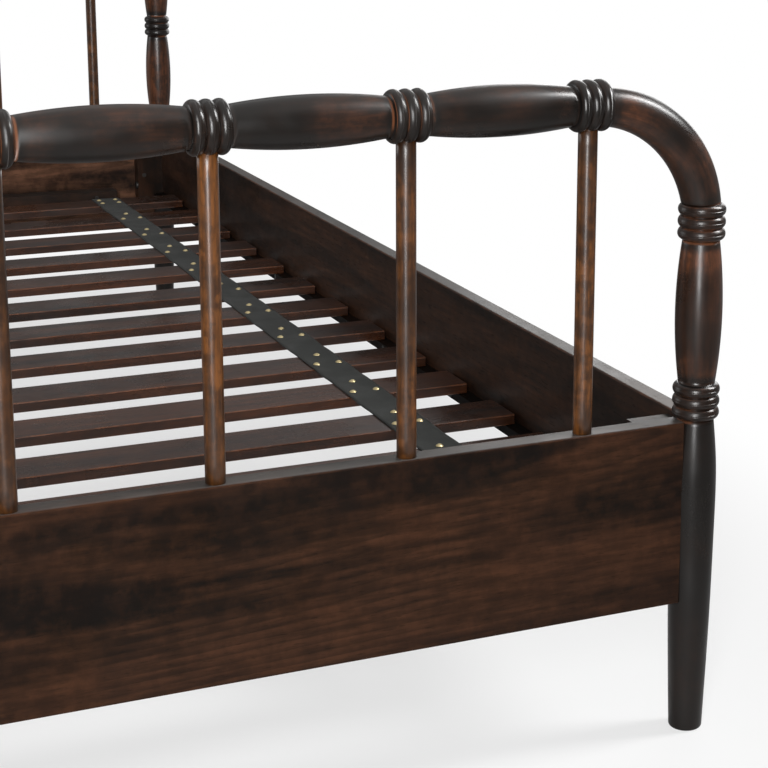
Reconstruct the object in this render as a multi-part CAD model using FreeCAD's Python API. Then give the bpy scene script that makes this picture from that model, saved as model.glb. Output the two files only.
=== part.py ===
"""A spindle bed for a queen mattress, in real millimetres.

X runs across the bed, Y runs from the foot towards the head and Z points up. The origin lies on the
floor under the middle of the bed. Left and right are as seen by someone who stands at the foot and
looks at the head. A distance called "in" is measured inwards from a post's axis.
"""
import FreeCAD, Part
import math
import os
from FreeCAD import Rotation, Vector

os.makedirs("parts", exist_ok=True)

# --- the mattress well and the posts that stand at its corners ------------------------------------
CLEAR_LENGTH = 2052.0      # between the two end panels, for an 80 inch mattress
CLEAR_WIDTH = 1547.0       # between the two side rails, for a 60 inch mattress
PANEL_T = 24.0             # thickness of an end panel, centred on the post axes
RAIL_T = 21.0              # thickness of a side rail
RAIL_INNER_IN = 8.5        # inner face of a side rail, in from the post axis

# --- heights ---------------------------------------------------------------------------------------
PANEL_BOTTOM = 144.0
PANEL_TOP = 338.0
RAIL_H = 146.0             # side rail, its top level with the panels'
SLAT_TOP = 230.0

# --- turnings --------------------------------------------------------------------------------------
FOOT_R = 17.4              # post at the floor
FOOT_EDGE = 3.0            # rounded edge there
LEG_OUTLINE = ((0.18, 19.5), (0.40, 21.7), (0.68, 23.2), (0.87, 22.6))  # share of the leg, radius
POST_NECK_R = 18.6
POST_BELLY_R = 23.7
POST_BEAD_R = 23.9
TOP_NECK_R = 19.2          # the top rail is a little stouter than the posts
TOP_BELLY_R = 24.4
TOP_BEAD_R = 25.0
BEAD_PITCH = 12.2          # one bead's width along the turning
BEADS = 3                  # beads in a ring
BEAD_GROOVE = 3.3          # depth of the groove between two beads
RING_GAP = 1.0             # from a panel's top to the lowest ring
RING_STEP = 184.0          # from ring to ring up a post
FOOT_RINGS = 2
HEAD_RINGS = 5

# --- the bent corners between a post and a top rail --------------------------------------------------
ELBOW_BEND_R = 119.5       # of the centre line
ELBOW_RISE = 102.9         # from the top ring of a post to the axis of the top rail
ELBOW_DROP = 2.0           # the bend's crown lies under the axis of the top rail
ELBOW_END_R = 18.2         # where it meets the top rail
ELBOW_FOOT_R = 19.1        # where it meets the post
ELBOW_SWELL = 2.4          # added halfway round
TENON_R = 9.0              # round tenons of the corners
TENON_L = 18.0

# --- spindles ----------------------------------------------------------------------------------------
SPINDLE_R = 9.5
SPINDLES = 8               # in each end
SPINDLE_END_IN = 128.9     # from a post axis to the outermost spindle, the rest evenly between
SPINDLE_TENON_R = 6.0      # pin at the lower end, in the panel
SPINDLE_TENON_L = 18.0
SPINDLE_SINK = 10.5        # depth of the socket under a bead's crest

# --- joints between the boards and the posts -----------------------------------------------------------
PANEL_END_IN = 19.8        # end of the panel's face
TONGUE_T = 12.0            # tongue on the panel's end
TONGUE_L = 10.5
TONGUE_DROP = 20.0         # the tongue is this much shorter than the panel, above and below
RAIL_END_IN = 15.0         # end of a side rail, in along Y
CORNER_W = 48.5            # corner block, along the panel
CORNER_T = 28.0            # and out from it
CORNER_DROP = 6.5          # its top lies under the panel's top
CORNER_SCRIBE_R = 24.6     # hollow that clears the post

# --- what carries the slats ------------------------------------------------------------------------------
LEDGER_W = 18.0
LEDGER_H = 11.5
LEDGER_END_IN = 44.0
CLEAT_D = 36.0             # cleat across each end panel
CLEAT_H = 24.0
CLEAT_DROP = 2.0           # its top lies under the slats' tops
CLEAT_END_IN = 102.0
BEAM_W = 40.0
BEAM_H = 60.0
BRACKET_LEG = 30.0         # steel angle beside the beam's end
BRACKET_H = 40.0
BRACKET_T = 2.5
BRACKET_LIFT = 4.0         # above the beam's lower edge
CENTRE_LEGS = 2
LEG_SIDE = 40.0
LEG_TENON_R = 10.0
LEG_TENON_L = 24.0
LEVEL_TRAVEL = 12.0        # how far a levelling foot screws in
LEVEL_PAD_R = 16.0
LEVEL_PAD_H = 8.0
LEVEL_STUD_R = 4.0
LEVEL_STUD_L = 40.0

# --- the slat roll ------------------------------------------------------------------------------------------
SLAT_W = 67.0
SLAT_T = 13.0
SLAT_END_GAP = 6.5         # from a slat's end to the side rail
FIRST_SLAT_IN = 131.7      # centre of the slat nearest the foot, in from the post axes there
LAST_SLAT_IN = 193.5       # and of the slat nearest the head
SLAT_DRIFT = (4.0, 9.0, 3.4, 0.0, -9.7, -6.2, -3.4, -3.3, 2.0, 0.4, 5.3, 9.0, 21.0)  # foot to head
SLAT_EASE = 2.0
STRAP_W = 50.0
STRAP_T = 2.0
STRAP_IN = 148.0           # centre line of a strap
TACK_R = 4.5
TACK_RISE = 2.4
TACK_SHANK_R = 1.0
TACK_SHANK_L = 11.0
TACK_EDGE_IN = 9.5         # from the strap's edge to a tack
TACK_FRONT = 17.5          # front pair, ahead of the slat's centre line
TACK_BACK = 26.0           # single tack, behind it
TACK_END_BACK = 12.0       # back pair on the first and last slat

# --- fasteners -------------------------------------------------------------------------------------------------
BOLT_R = 4.0
BOLT_HEAD_R = 7.0
BOLT_HEAD_H = 4.5
BOLT_BITE = 13.0           # how far a bolt goes into the rail
BOLT_IN = 32.0             # bolt axis, in along Y
BOLT_HEIGHTS = (0.28, 0.72)  # shares of the rail's height
INSERT_R = 6.0
SCREW_R = 2.0
SCREW_HEAD_R = 4.0
SCREW_HEAD_H = 2.4
LONG_SCREW = 50.0
BLOCK_SCREW = 40.0
LEDGER_SCREW = 32.0
SHORT_SCREW = 14.0
LEDGER_SCREWS = 9
CLEAT_SCREWS = 8
SCREW_END_IN = 40.0        # from the end of a ledger or a cleat to its first screw
EDGE_EASE = 2.5            # rounded long edges of panels and rails

# --- clearances ----------------------------------------------------------------------------------------------------
FIT = 0.1                  # round a tenon, pin, screw or tack
SEAT = 0.2                 # beyond the end of one, and round a housed board
RUN = 0.1                  # round the stud of a levelling foot

# --- places that follow from the sizes above ---------------------------------------------------------------------------
HALF_W = CLEAR_WIDTH / 2 + RAIL_INNER_IN
HALF_L = CLEAR_LENGTH / 2 + PANEL_T / 2
RAIL_BOTTOM = PANEL_TOP - RAIL_H
RING_L = BEADS * BEAD_PITCH
LEG_TOP = PANEL_TOP + RING_GAP
SLAT_BOTTOM = SLAT_TOP - SLAT_T
CLEAT_TOP = SLAT_TOP - CLEAT_DROP
BEAM_BOTTOM = SLAT_BOTTOM - BEAM_H
LEG_BOTTOM = LEVEL_PAD_H + LEVEL_TRAVEL
SPINDLE_PITCH = 2 * (HALF_W - SPINDLE_END_IN) / (SPINDLES - 1)
SPINDLE_XS = [(i - (SPINDLES - 1) / 2) * SPINDLE_PITCH for i in range(SPINDLES)]
SLATS = len(SLAT_DRIFT)
SLAT_PITCH = (2 * HALF_L - FIRST_SLAT_IN - LAST_SLAT_IN) / (SLATS - 1)
FOOT, HEAD = -1, 1
LEFT, RIGHT = -1, 1
END_WORD = {FOOT: "foot", HEAD: "head"}
SIDE_WORD = {LEFT: "left", RIGHT: "right"}

pieces = {}                # node name: its shape
drillings = {}             # node name: what is drilled out of it


def from_side(side, distance_in):
    """X of a place that lies some way in from the post axes of one side."""
    return side * (HALF_W - distance_in)


def from_end(end, distance_in):
    """Y of a place that lies some way in from the post axes of one end."""
    return end * (HALF_L - distance_in)


def block(x, y, z):
    """A box between two Xs, two Ys and two Zs, given in any order."""
    (x0, x1), (y0, y1), (z0, z1) = sorted(x), sorted(y), sorted(z)
    return Part.makeBox(x1 - x0, y1 - y0, z1 - z0, Vector(x0, y0, z0))


def rod(radius, start, direction, length):
    """A round bar from start, along direction."""
    return Part.makeCylinder(radius, length, Vector(*start), Vector(*direction))


def eased(shape, radius, wanted):
    """The shape with the edges for which wanted(centre, direction) is true rounded off."""
    edges = [e for e in shape.Edges
             if e.Curve.TypeId == "Part::GeomLine" and wanted(e.CenterOfMass, e.tangentAt(0))]
    return shape.makeFillet(radius, edges)


def drill(nodes, tool):
    for node in nodes:
        drillings.setdefault(node, []).append(tool)


# --- turned work ---------------------------------------------------------------------------------------------------
def at(along, radius):
    """A point of a turning's outline: how far along the axis, and how far from it."""
    return Vector(radius, 0, along)


def line(a, b):
    return [Part.LineSegment(a, b).toShape()]


def arc(a, through, b):
    return [Part.Arc(a, through, b).toShape()]


def half_bead(crest, crest_r, foot, foot_r, rising):
    """Half of a bead: an arc that is level at the crest and drops to the foot."""
    width, drop = abs(foot - crest), crest_r - foot_r
    bow_r = (width ** 2 + drop ** 2) / (2 * drop)
    half_angle = math.atan2(width, bow_r - drop) / 2
    way = 1 if foot > crest else -1
    middle = at(crest + way * bow_r * math.sin(half_angle), crest_r - bow_r * (1 - math.cos(half_angle)))
    ends = (at(foot, foot_r), at(crest, crest_r)) if rising else (at(crest, crest_r), at(foot, foot_r))
    return arc(ends[0], middle, ends[1])


def ring(start, neck_r, bead_r, end_neck_r):
    """Beads side by side. The outer ones drop to the necks, the others to the grooves."""
    outline = []
    for i in range(BEADS):
        low, crest, high = (start + (i + share) * BEAD_PITCH for share in (0, 0.5, 1))
        low_r = neck_r if i == 0 else bead_r - BEAD_GROOVE
        high_r = end_neck_r if i == BEADS - 1 else bead_r - BEAD_GROOVE
        outline += half_bead(crest, bead_r, low, low_r, True)
        outline += half_bead(crest, bead_r, high, high_r, False)
    return outline


def barrel(start, end, neck_r, belly_r):
    """The long swelling between two rings."""
    return arc(at(start, neck_r), at((start + end) / 2, belly_r), at(end, neck_r))


def turned(outline, start, end):
    """The solid that an outline sweeps round the Z axis; the outline runs from start to end."""
    first, last = outline[0].firstVertex().Point, outline[-1].lastVertex().Point
    closing = line(last, at(end, 0)) + line(at(end, 0), at(start, 0)) + line(at(start, 0), first)
    wire = Part.Wire(Part.__sortEdges__(outline + closing))
    return Part.Face(wire).revolve(Vector(0, 0, 0), Vector(0, 0, 1), 360)


def post(rings):
    """A corner post on the Z axis: a tapered leg, then rings with barrels between them."""
    foot_edge = arc(at(0, FOOT_R - FOOT_EDGE),
                    at(FOOT_EDGE * (1 - math.sqrt(0.5)), FOOT_R - FOOT_EDGE * (1 - math.sqrt(0.5))),
                    at(FOOT_EDGE, FOOT_R))
    leg = Part.BSplineCurve()
    leg.interpolate([at(FOOT_EDGE, FOOT_R)] + [at(share * LEG_TOP, r) for share, r in LEG_OUTLINE]
                    + [at(LEG_TOP, POST_NECK_R)])
    outline = foot_edge + [leg.toShape()]
    for i in range(rings):
        base = LEG_TOP + i * RING_STEP
        last = i == rings - 1
        outline += ring(base, POST_NECK_R, POST_BEAD_R, ELBOW_FOOT_R if last else POST_NECK_R)
        if not last:
            outline += barrel(base + RING_L, base + RING_STEP, POST_NECK_R, POST_BELLY_R)
    top = post_top(rings)
    solid = turned(outline, 0, top)
    return solid.fuse(rod(TENON_R, (0, 0, top), (0, 0, 1), TENON_L)).removeSplitter()


def post_top(rings):
    return LEG_TOP + (rings - 1) * RING_STEP + RING_L


def top_rail_height(rings):
    return post_top(rings) + ELBOW_RISE


def top_rail(height):
    """The turned rail across an end: a ring over each spindle and a barrel between rings."""
    outline = []
    for i, x in enumerate(SPINDLE_XS):
        first, last = i == 0, i == SPINDLES - 1
        outline += ring(x - RING_L / 2, ELBOW_END_R if first else TOP_NECK_R, TOP_BEAD_R,
                        ELBOW_END_R if last else TOP_NECK_R)
        if not last:
            outline += barrel(x + RING_L / 2, SPINDLE_XS[i + 1] - RING_L / 2, TOP_NECK_R, TOP_BELLY_R)
    end = top_rail_end()
    solid = turned(outline, -end, end)
    for way in (-1, 1):
        solid = solid.fuse(rod(TENON_R, (0, 0, way * end), (0, 0, way), TENON_L))
    solid = solid.removeSplitter()
    solid.Placement = FreeCAD.Placement(Vector(0, 0, height), Rotation(Vector(0, 1, 0), 90))
    return solid


def top_rail_end():
    """Half the length of a top rail, without its tenons."""
    return SPINDLE_XS[-1] + RING_L / 2


def elbow(side, height, foot_z):
    """A bent corner: circles along a quarter bend, cut off square at the rail and at the post."""
    post_x, rail_x = side * HALF_W, side * top_rail_end()
    centre_x, centre_z = post_x - side * ELBOW_BEND_R, height - ELBOW_DROP - ELBOW_BEND_R
    steps = 8
    circles = []
    for i in range(steps + 1):
        share = i / steps
        turn = math.radians(90 * (1 - share))
        spot = Vector(centre_x + side * ELBOW_BEND_R * math.cos(turn), 0,
                      centre_z + ELBOW_BEND_R * math.sin(turn))
        heading = Vector(side * math.sin(turn), 0, -math.cos(turn))
        radius = ELBOW_END_R + (ELBOW_FOOT_R - ELBOW_END_R) * share + ELBOW_SWELL * math.sin(math.pi * share)
        circles.append(Part.Wire(Part.Circle(spot, heading, radius).toShape()))
    bend = Part.makeLoft(circles, True)
    reach = 2 * ELBOW_BEND_R
    bend = bend.common(block((rail_x, rail_x + side * reach), (-reach, reach), (foot_z, foot_z + reach)))
    bore = TENON_R + FIT
    bend = bend.cut(rod(bore, (post_x, 0, foot_z - SEAT), (0, 0, 1), TENON_L + 2 * SEAT))
    return bend.cut(rod(bore, (rail_x - side * SEAT, 0, height), (side, 0, 0), TENON_L + 2 * SEAT))


# --- the two ends of the bed ----------------------------------------------------------------------------------------------
def long_edge(z):
    """Picks the edges along X at one height."""
    return lambda centre, way: abs(way.x) > 0.99 and abs(centre.z - z) < 0.01


def end_panel(end):
    """The wide board across an end, with a tongue at each side that goes into the post."""
    y = from_end(end, 0)
    half = HALF_W - PANEL_END_IN
    board = block((-half, half), (y - PANEL_T / 2, y + PANEL_T / 2), (PANEL_BOTTOM, PANEL_TOP))
    for z in (PANEL_BOTTOM, PANEL_TOP):
        board = eased(board, EDGE_EASE, long_edge(z))
    tongue = block((-half - TONGUE_L, half + TONGUE_L), (y - TONGUE_T / 2, y + TONGUE_T / 2),
                   (PANEL_BOTTOM + TONGUE_DROP, PANEL_TOP - TONGUE_DROP))
    return board.fuse(tongue).removeSplitter()


def panel_housing(side, end):
    """What a post loses for the panel's end and its tongue."""
    x, y = side * HALF_W, from_end(end, 0)
    outer = x - side * 2 * POST_BEAD_R
    half_t, half_tongue = PANEL_T / 2 + SEAT, TONGUE_T / 2 + SEAT
    face = from_side(side, PANEL_END_IN - SEAT)
    tip = from_side(side, PANEL_END_IN - TONGUE_L - SEAT)
    seat = block((outer, face), (y - half_t, y + half_t), (PANEL_BOTTOM - SEAT, PANEL_TOP + SEAT))
    mortise = block((outer, tip), (y - half_tongue, y + half_tongue),
                    (PANEL_BOTTOM + TONGUE_DROP - SEAT, PANEL_TOP - TONGUE_DROP + SEAT))
    return seat.fuse(mortise)


def rail_housing(side, end):
    """What a post loses for the end of a side rail."""
    return block((from_side(side, RAIL_INNER_IN + SEAT), from_side(side, RAIL_INNER_IN - RAIL_T - SEAT)),
                 (from_end(end, RAIL_END_IN - SEAT), from_end(end, 2 * POST_BEAD_R)),
                 (RAIL_BOTTOM - SEAT, PANEL_TOP + SEAT))


def spindle(x, y, top):
    bar = rod(SPINDLE_R, (x, y, PANEL_TOP), (0, 0, 1), top - PANEL_TOP)
    pin = rod(SPINDLE_TENON_R, (x, y, PANEL_TOP), (0, 0, -1), SPINDLE_TENON_L)
    return bar.fuse(pin).removeSplitter()


def bed_end(end, rings):
    """Posts, bent corners, top rail, spindles and panel of the foot or the head."""
    word, y, height = END_WORD[end], from_end(end, 0), top_rail_height(rings)
    socket_top = height - TOP_BEAD_R + SPINDLE_SINK
    for side in (LEFT, RIGHT):
        turned_post = post(rings)
        turned_post.translate(Vector(side * HALF_W, y, 0))
        turned_post = turned_post.cut([panel_housing(side, end), rail_housing(side, end)])
        pieces[f"{word}_post_{SIDE_WORD[side]}"] = turned_post
        bend = elbow(side, height, post_top(rings))
        bend.translate(Vector(0, y, 0))
        pieces[f"{word}_elbow_{SIDE_WORD[side]}"] = bend
    rail = top_rail(height)
    rail.translate(Vector(0, y, 0))
    pieces[f"{word}_top_rail"] = rail
    pieces[f"{word}_panel"] = end_panel(end)
    for i, x in enumerate(SPINDLE_XS):
        pieces[f"{word}_spindle_{i + 1}"] = spindle(x, y, socket_top - SEAT)
        drill([f"{word}_top_rail"], rod(SPINDLE_R + FIT, (x, y, socket_top), (0, 0, -1), TOP_BEAD_R))
        drill([f"{word}_panel"], rod(SPINDLE_TENON_R + FIT, (x, y, PANEL_TOP), (0, 0, -1),
                                     SPINDLE_TENON_L + SEAT))


# --- fasteners ------------------------------------------------------------------------------------------------------------------
screws, bolts, inserts, tacks = [], [], [], []


def countersunk(length, gap):
    """A wood screw along -Z with its head's face at Z = 0, or the hole for one if gap is above 0."""
    head = Part.makeCone(SCREW_HEAD_R + gap, SCREW_R + gap, SCREW_HEAD_H, Vector(0, 0, 0), Vector(0, 0, -1))
    return head.fuse(rod(SCREW_R + gap, (0, 0, 0), (0, 0, -1), length + gap)).removeSplitter()


def placed(shape, spot, heading):
    """A shape made along -Z, moved so that it starts at spot and points along heading."""
    copy = shape.copy()
    copy.Placement = FreeCAD.Placement(Vector(*spot), Rotation(Vector(0, 0, -1), Vector(*heading)))
    return copy


def screw(spot, heading, length, nodes):
    screws.append(placed(countersunk(length, 0.0), spot, heading))
    drill(nodes, placed(countersunk(length, FIT), spot, heading))


def bed_bolt(side, end, z):
    """A bolt through a corner block into a threaded insert in the side rail."""
    head_x, face_x = from_side(side, RAIL_INNER_IN + CORNER_W), from_side(side, RAIL_INNER_IN)
    y, word, hand = from_end(end, BOLT_IN), END_WORD[end], SIDE_WORD[side]
    shank = rod(BOLT_R, (head_x, y, z), (side, 0, 0), CORNER_W + BOLT_BITE)
    head = rod(BOLT_HEAD_R, (head_x, y, z), (-side, 0, 0), BOLT_HEAD_H)
    head = head.makeFillet(BOLT_HEAD_H * 0.6, [max(head.Edges, key=lambda e: -side * e.CenterOfMass.x)])
    bolts.append(head.fuse(shank).removeSplitter())
    sleeve = rod(INSERT_R, (face_x, y, z), (side, 0, 0), BOLT_BITE)
    inserts.append(sleeve.cut(rod(BOLT_R + FIT, (face_x, y, z), (side, 0, 0), BOLT_BITE)))
    drill([f"corner_block_{word}_{hand}"], rod(BOLT_R + FIT, (head_x, y, z), (side, 0, 0), CORNER_W))
    drill([f"side_rail_{hand}"], rod(INSERT_R + FIT, (face_x, y, z), (side, 0, 0), BOLT_BITE + SEAT))


# --- side rails, corner blocks, ledgers and cleats ----------------------------------------------------------------------------------
def side_rail(side):
    x = (from_side(side, RAIL_INNER_IN), from_side(side, RAIL_INNER_IN - RAIL_T))
    board = block(x, (from_end(FOOT, RAIL_END_IN), from_end(HEAD, RAIL_END_IN)), (RAIL_BOTTOM, PANEL_TOP))
    return eased(board, EDGE_EASE, lambda centre, way: abs(way.y) > 0.99)


def corner_block(side, end):
    """The block in a corner of the well, hollowed to clear the post, that a side rail bolts to."""
    body = block((from_side(side, RAIL_INNER_IN), from_side(side, RAIL_INNER_IN + CORNER_W)),
                 (from_end(end, PANEL_T / 2), from_end(end, PANEL_T / 2 + CORNER_T)),
                 (RAIL_BOTTOM, PANEL_TOP - CORNER_DROP))
    return body.cut(rod(CORNER_SCRIBE_R, (side * HALF_W, from_end(end, 0), 0), (0, 0, 1), PANEL_TOP))


def side_work(side):
    hand = SIDE_WORD[side]
    rail, ledger = f"side_rail_{hand}", f"ledger_{hand}"
    pieces[rail] = side_rail(side)
    pieces[ledger] = block((from_side(side, RAIL_INNER_IN), from_side(side, RAIL_INNER_IN + LEDGER_W)),
                           (from_end(FOOT, LEDGER_END_IN), from_end(HEAD, LEDGER_END_IN)),
                           (SLAT_BOTTOM - LEDGER_H, SLAT_BOTTOM))
    spread = 2 * (HALF_L - LEDGER_END_IN - SCREW_END_IN) / (LEDGER_SCREWS - 1)
    for i in range(LEDGER_SCREWS):
        spot = (from_side(side, RAIL_INNER_IN + LEDGER_W), (i - (LEDGER_SCREWS - 1) / 2) * spread,
                SLAT_BOTTOM - LEDGER_H / 2)
        screw(spot, (side, 0, 0), LEDGER_SCREW, [ledger, rail])
    for end in (FOOT, HEAD):
        word = END_WORD[end]
        corner = f"corner_block_{word}_{hand}"
        pieces[corner] = corner_block(side, end)
        for share in BOLT_HEIGHTS:
            bed_bolt(side, end, RAIL_BOTTOM + share * RAIL_H)
            spot = (from_side(side, RAIL_INNER_IN + CORNER_W * 0.75),
                    from_end(end, PANEL_T / 2 + CORNER_T), RAIL_BOTTOM + (share + 0.14) * RAIL_H)
            screw(spot, (0, end, 0), BLOCK_SCREW, [corner, f"{word}_panel"])


def end_cleat(end):
    """The cleat across an end panel, notched over the centre beam."""
    word = END_WORD[end]
    reach = HALF_W - CLEAT_END_IN
    body = block((-reach, reach), (from_end(end, PANEL_T / 2), from_end(end, PANEL_T / 2 + CLEAT_D)),
                 (CLEAT_TOP - CLEAT_H, CLEAT_TOP))
    half = BEAM_W / 2 + SEAT
    notch = block((-half, half), (from_end(end, 0), from_end(end, 2 * CLEAT_D)), (0, SLAT_BOTTOM + SEAT))
    pieces[f"{word}_cleat"] = body.cut(notch)
    spread = 2 * (reach - SCREW_END_IN) / (CLEAT_SCREWS - 1)
    for i in range(CLEAT_SCREWS):
        spot = ((i - (CLEAT_SCREWS - 1) / 2) * spread, from_end(end, PANEL_T / 2 + CLEAT_D),
                CLEAT_TOP - CLEAT_H / 2)
        screw(spot, (0, end, 0), LONG_SCREW, [f"{word}_cleat", f"{word}_panel"])


# --- the centre support ----------------------------------------------------------------------------------------------------------------
def centre_support():
    reach = HALF_L - PANEL_T / 2
    half = BEAM_W / 2
    pieces["centre_beam"] = block((-half, half), (-reach, reach), (BEAM_BOTTOM, SLAT_BOTTOM))
    brackets = []
    low = BEAM_BOTTOM + BRACKET_LIFT
    for end in (FOOT, HEAD):
        face, tip = from_end(end, PANEL_T / 2), from_end(end, PANEL_T / 2 + BRACKET_LEG)
        panel = f"{END_WORD[end]}_panel"
        for side in (LEFT, RIGHT):
            near, far = side * half, side * (half + BRACKET_LEG)
            on_beam = block((near, near + side * BRACKET_T), (face, tip), (low, low + BRACKET_H))
            on_panel = block((near, far), (face, face - end * BRACKET_T), (low, low + BRACKET_H))
            brackets.append(on_beam.fuse(on_panel).removeSplitter())
            for share in (0.25, 0.75):
                z = low + share * BRACKET_H
                middle = BRACKET_LEG * (0.5 + 0.15 * (0.5 - share))
                screw((near + side * BRACKET_T, face - end * middle, z), (-side, 0, 0), SHORT_SCREW,
                      ["beam_brackets", "centre_beam"])
                screw((near + side * middle, face - end * BRACKET_T, z), (0, end, 0), SHORT_SCREW,
                      ["beam_brackets", panel])
    pieces["beam_brackets"] = Part.makeCompound(brackets)
    for i in range(CENTRE_LEGS):
        y = (i - (CENTRE_LEGS - 1) / 2) * 2 * HALF_L / (CENTRE_LEGS + 1)
        centre_leg(i + 1, y)


def centre_leg(number, y):
    """A square leg with a tenon in the beam, and the levelling foot that screws into its lower end."""
    half = LEG_SIDE / 2
    leg = block((-half, half), (y - half, y + half), (LEG_BOTTOM, BEAM_BOTTOM))
    leg = leg.fuse(rod(LEG_TENON_R, (0, y, BEAM_BOTTOM), (0, 0, 1), LEG_TENON_L)).removeSplitter()
    stud_top = LEVEL_PAD_H + LEVEL_STUD_L + LEVEL_TRAVEL + SEAT
    pieces[f"centre_leg_{number}"] = leg.cut(rod(LEVEL_STUD_R + RUN, (0, y, 0), (0, 0, 1), stud_top))
    drill(["centre_beam"], rod(LEG_TENON_R + FIT, (0, y, BEAM_BOTTOM), (0, 0, 1), LEG_TENON_L + SEAT))
    pad = rod(LEVEL_PAD_R, (0, y, 0), (0, 0, 1), LEVEL_PAD_H)
    pad = pad.makeFillet(LEVEL_PAD_H * 0.3, [max(pad.Edges, key=lambda e: e.CenterOfMass.z)])
    stud = rod(LEVEL_STUD_R, (0, y, LEVEL_PAD_H), (0, 0, 1), LEVEL_STUD_L)
    pieces[f"levelling_foot_{number}"] = pad.fuse(stud).removeSplitter()


# --- the slat roll ------------------------------------------------------------------------------------------------------------------------
def tack():
    """An upholstery nail along -Z, the rim of its dome at Z = 0."""
    lift = (TACK_R ** 2 - TACK_RISE ** 2) / (2 * TACK_RISE)
    ball = TACK_R ** 2 / (2 * TACK_RISE) + TACK_RISE / 2
    lean = math.atan2(TACK_R, lift) / 2
    dome = [Part.Arc(at(0, TACK_R), at(ball * math.cos(lean) - lift, ball * math.sin(lean)),
                     at(TACK_RISE, 0)).toShape()]
    face = Part.Face(Part.Wire(dome + line(at(TACK_RISE, 0), at(0, 0)) + line(at(0, 0), at(0, TACK_R))))
    cap = face.revolve(Vector(0, 0, 0), Vector(0, 0, 1), 360)
    return cap.fuse(rod(TACK_SHANK_R, (0, 0, 0), (0, 0, -1), TACK_SHANK_L)).removeSplitter()


def slat_centre(index):
    return from_end(FOOT, FIRST_SLAT_IN + index * SLAT_PITCH + SLAT_DRIFT[index])


def tack_places(index):
    """Where one slat's tacks go, as steps across the strap and along the bed."""
    edge = STRAP_W / 2 - TACK_EDGE_IN
    front = [(-edge, -TACK_FRONT), (edge, -TACK_FRONT)]
    if index in (0, SLATS - 1):
        return front + [(-edge, TACK_END_BACK), (edge, TACK_END_BACK)]
    return front + [(0, TACK_BACK)]


def slat_roll():
    reach = CLEAR_WIDTH / 2 - SLAT_END_GAP
    nail = tack()
    strap_top = SLAT_TOP + STRAP_T
    for index in range(SLATS):
        y = slat_centre(index)
        bar = block((-reach, reach), (y - SLAT_W / 2, y + SLAT_W / 2), (SLAT_BOTTOM, SLAT_TOP))
        pieces[f"slat_{index + 1}"] = eased(bar, SLAT_EASE, lambda centre, way: abs(way.x) > 0.99)
        for side in (LEFT, RIGHT):
            for across, along in tack_places(index):
                spot = (from_side(side, STRAP_IN) + across, y + along, strap_top)
                tacks.append(placed(nail, spot, (0, 0, -1)))
                drill([f"slat_{index + 1}", f"strap_{SIDE_WORD[side]}"],
                      rod(TACK_SHANK_R + FIT, spot, (0, 0, -1), TACK_SHANK_L + SEAT))
    for side in (LEFT, RIGHT):
        x = from_side(side, STRAP_IN)
        pieces[f"strap_{SIDE_WORD[side]}"] = block(
            (x - STRAP_W / 2, x + STRAP_W / 2),
            (slat_centre(0) - SLAT_W / 2, slat_centre(SLATS - 1) + SLAT_W / 2), (SLAT_TOP, strap_top))


# --- the whole bed ----------------------------------------------------------------------------------------------------------------------------
bed_end(FOOT, FOOT_RINGS)
bed_end(HEAD, HEAD_RINGS)
for hand in (LEFT, RIGHT):
    side_work(hand)
for bed_side_end in (FOOT, HEAD):
    end_cleat(bed_side_end)
centre_support()
slat_roll()

for node_name, tools in drillings.items():
    pieces[node_name] = pieces[node_name].cut(tools)
corner_nodes = [name for name in pieces if name.startswith("corner_block_")]
pieces["corner_blocks"] = Part.makeCompound([pieces.pop(name) for name in corner_nodes])
pieces["wood_screws"] = Part.makeCompound(screws)
pieces["bed_bolts"] = Part.makeCompound(bolts)
pieces["rail_inserts"] = Part.makeCompound(inserts)
pieces["tacks"] = Part.makeCompound(tacks)

for node_name, shape in pieces.items():
    if not shape.isValid():
        raise ValueError(f"{node_name} isn't a valid shape")
    shape.exportStep(f"parts/{node_name}.step")
box = Part.makeCompound(list(pieces.values())).BoundBox
print(len(pieces), "nodes,", sum(len(s.Solids) for s in pieces.values()), "solids")
print("X", round(box.XMin, 2), round(box.XMax, 2), "Y", round(box.YMin, 2), round(box.YMax, 2),
      "Z", round(box.ZMin, 2), round(box.ZMax, 2))
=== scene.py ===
"""A spindle bed in dark stained wood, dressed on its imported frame.

Turned posts, top rails, bent corners and spindles are surfaces worked out with numpy from their profiles. The
boards are the frame's own, with stain, grain and worn edges. Lengths are in metres. X runs across the bed, Y from
the foot to the head and Z up; the origin lies on the floor under the bed's middle.
"""
import math

import bpy
import numpy as np
from bpy.props import FloatProperty, FloatVectorProperty, IntProperty, PointerProperty
from mathutils import Matrix, Vector


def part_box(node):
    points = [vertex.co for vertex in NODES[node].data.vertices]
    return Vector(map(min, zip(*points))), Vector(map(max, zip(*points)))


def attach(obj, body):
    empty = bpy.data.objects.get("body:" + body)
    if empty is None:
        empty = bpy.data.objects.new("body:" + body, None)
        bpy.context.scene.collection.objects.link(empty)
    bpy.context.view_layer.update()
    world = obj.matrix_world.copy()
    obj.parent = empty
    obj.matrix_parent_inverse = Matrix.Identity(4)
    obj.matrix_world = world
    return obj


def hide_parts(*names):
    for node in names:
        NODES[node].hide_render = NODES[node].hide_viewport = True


bl_info = {
    "name": "Spindle Bed",
    "version": (1, 0, 0),
    "blender": (4, 5, 0),
    "location": "3D View > Sidebar > Bed",
    "description": "Builds the visible pieces and finishes of a spindle bed on its packed frame",
    "category": "Add Mesh",
}

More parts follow.
